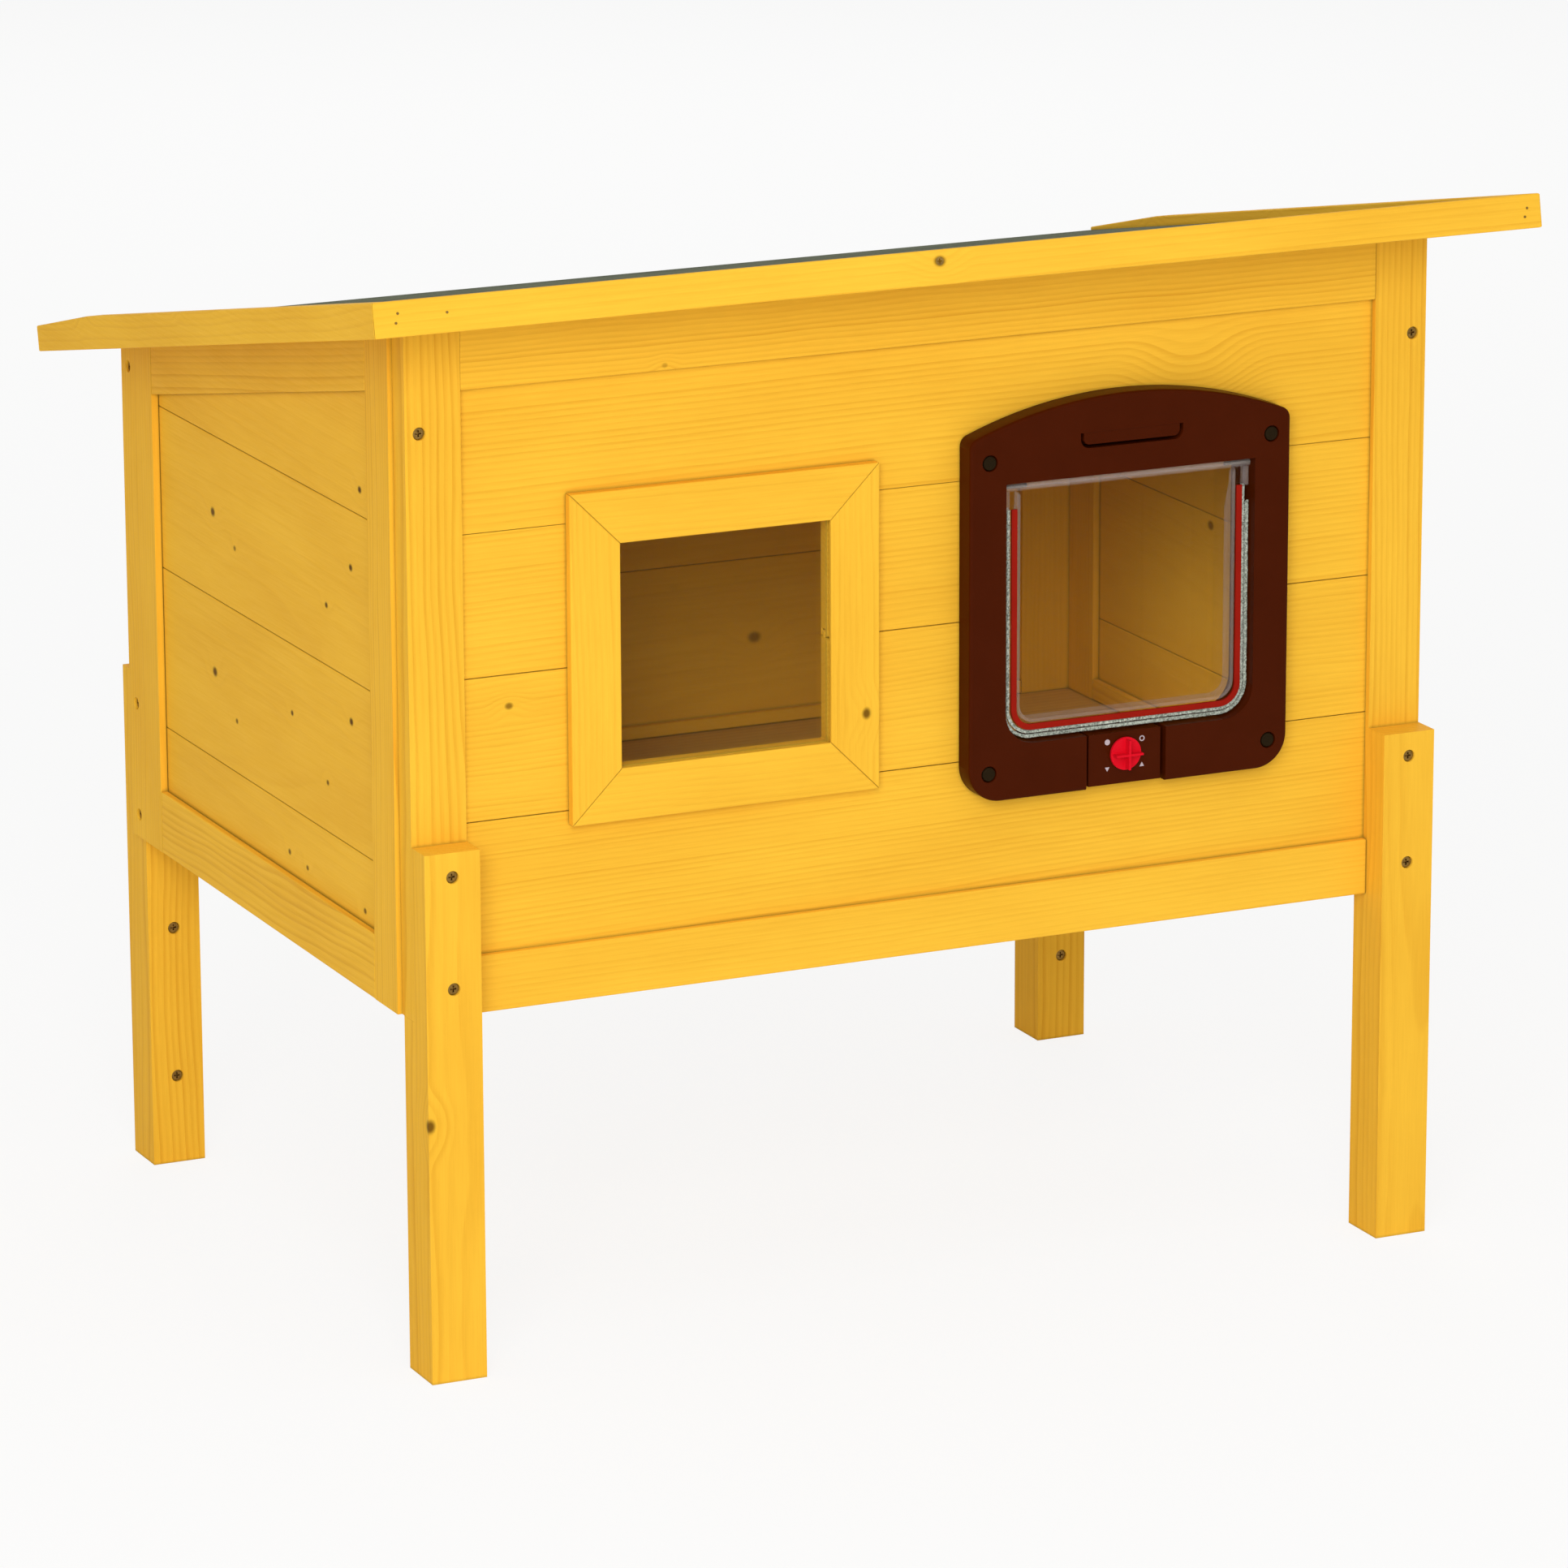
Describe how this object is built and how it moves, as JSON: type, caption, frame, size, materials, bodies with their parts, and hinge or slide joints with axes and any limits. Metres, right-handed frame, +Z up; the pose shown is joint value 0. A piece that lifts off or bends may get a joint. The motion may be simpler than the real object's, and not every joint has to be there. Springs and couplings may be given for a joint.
{
  "type": "cat house",
  "caption": "Raised wooden cat house with plank walls, a felted lean-to roof that lifts at the front, a framed window, a lockable swinging cat flap and straight legs.",
  "frame": {"origin": "centre of the bounding box in plan, on the ground under the legs", "axes": "+Z up, the front with the window and the cat flap faces -Y, +X to the viewer's right"},
  "size_m": [0.758, 0.5721, 0.6635],
  "materials": {
    "stained_wood": "satin yellow stain",
    "plywood": "bare",
    "roofing_felt": "mineral grit on bitumen",
    "zinc_steel": "zinc plated",
    "brown_plastic": "semi-gloss moulded",
    "cap_plastic": "semi-gloss moulded",
    "clear_plastic": "clear, lightly tinted",
    "red_plastic": "gloss moulded",
    "brush_pile": "short pile"
  },
  "bodies": {
    "house": {"back_boards": "stained_wood", "back_bottom_rail": "stained_wood", "back_stile_left": "stained_wood", "back_stile_right": "stained_wood", "back_top_rail": "stained_wood", "flap_inner_frame": "brown_plastic", "flap_lock_housing": "brown_plastic", "flap_outer_frame": "brown_plastic", "flap_screw_caps": "cap_plastic", "flap_screws": "zinc_steel", "floor_panel": "plywood", "front_board_1": "stained_wood", "front_board_2": "stained_wood", "front_board_3": "stained_wood", "front_board_4": "stained_wood", "front_bottom_rail": "stained_wood", "front_stile_left": "stained_wood", "front_stile_right": "stained_wood", "front_top_rail": "stained_wood", "hinge_pins": "zinc_steel", "hinge_wall_leaves": "zinc_steel", "hinge_wall_screws": "zinc_steel", "left_back_stile": "stained_wood", "left_boards": "stained_wood", "left_bottom_rail": "stained_wood", "left_front_stile": "stained_wood", "left_top_rail": "stained_wood", "leg_block_back_left": "stained_wood", "leg_block_back_right": "stained_wood", "leg_block_front_left": "stained_wood", "leg_block_front_right": "stained_wood", "leg_board_back_left": "stained_wood", "leg_board_back_right": "stained_wood", "leg_board_front_left": "stained_wood", "leg_board_front_right": "stained_wood", "right_back_stile": "stained_wood", "right_boards": "stained_wood", "right_bottom_rail": "stained_wood", "right_front_stile": "stained_wood", "right_top_rail": "stained_wood", "window_pane": "clear_plastic", "window_trim_bottom": "stained_wood", "window_trim_left": "stained_wood", "window_trim_right": "stained_wood", "window_trim_top": "stained_wood", "wood_screws": "zinc_steel"},
    "roof": {"roof_deck": "plywood", "roof_felt": "roofing_felt", "front_fascia": "stained_wood", "left_fascia": "stained_wood", "right_fascia": "stained_wood", "hinge_roof_leaves": "zinc_steel", "hinge_roof_screws": "zinc_steel"},
    "flap": {"flap_panel": "clear_plastic", "flap_brush": "brush_pile", "flap_seal": "red_plastic", "flap_pivot_pins": "zinc_steel"},
    "lock_knob": {"flap_lock_knob": "red_plastic"},
    "lock_pawl_out": {"flap_lock_pawl_out": "brown_plastic"},
    "lock_pawl_in": {"flap_lock_pawl_in": "brown_plastic"}
  },
  "joints": [
    {"name": "roof_hinge", "type": "hinge", "parent": "house", "child": "roof", "pos_m": [0, 0.2455, 0.53941], "axis": [-1, 0, 0], "range_deg": [0, 80]},
    {"name": "flap_swing", "type": "hinge", "parent": "house", "child": "flap", "pos_m": [0.13, -0.2238, 0.5026], "axis": [1, 0, 0], "range_deg": [-80, 80]},
    {"name": "lock_knob_turn", "type": "hinge", "parent": "house", "child": "lock_knob", "pos_m": [0.1278, -0.2308, 0.331], "axis": [0, 1, 0], "range_deg": [0, 270]},
    {"name": "lock_pawl_out_rise", "type": "slide", "parent": "house", "child": "lock_pawl_out", "axis": [0, 0, 1], "range_m": [0, 0.006]},
    {"name": "lock_pawl_in_rise", "type": "slide", "parent": "house", "child": "lock_pawl_in", "axis": [0, 0, 1], "range_m": [0, 0.006]}
  ]
}
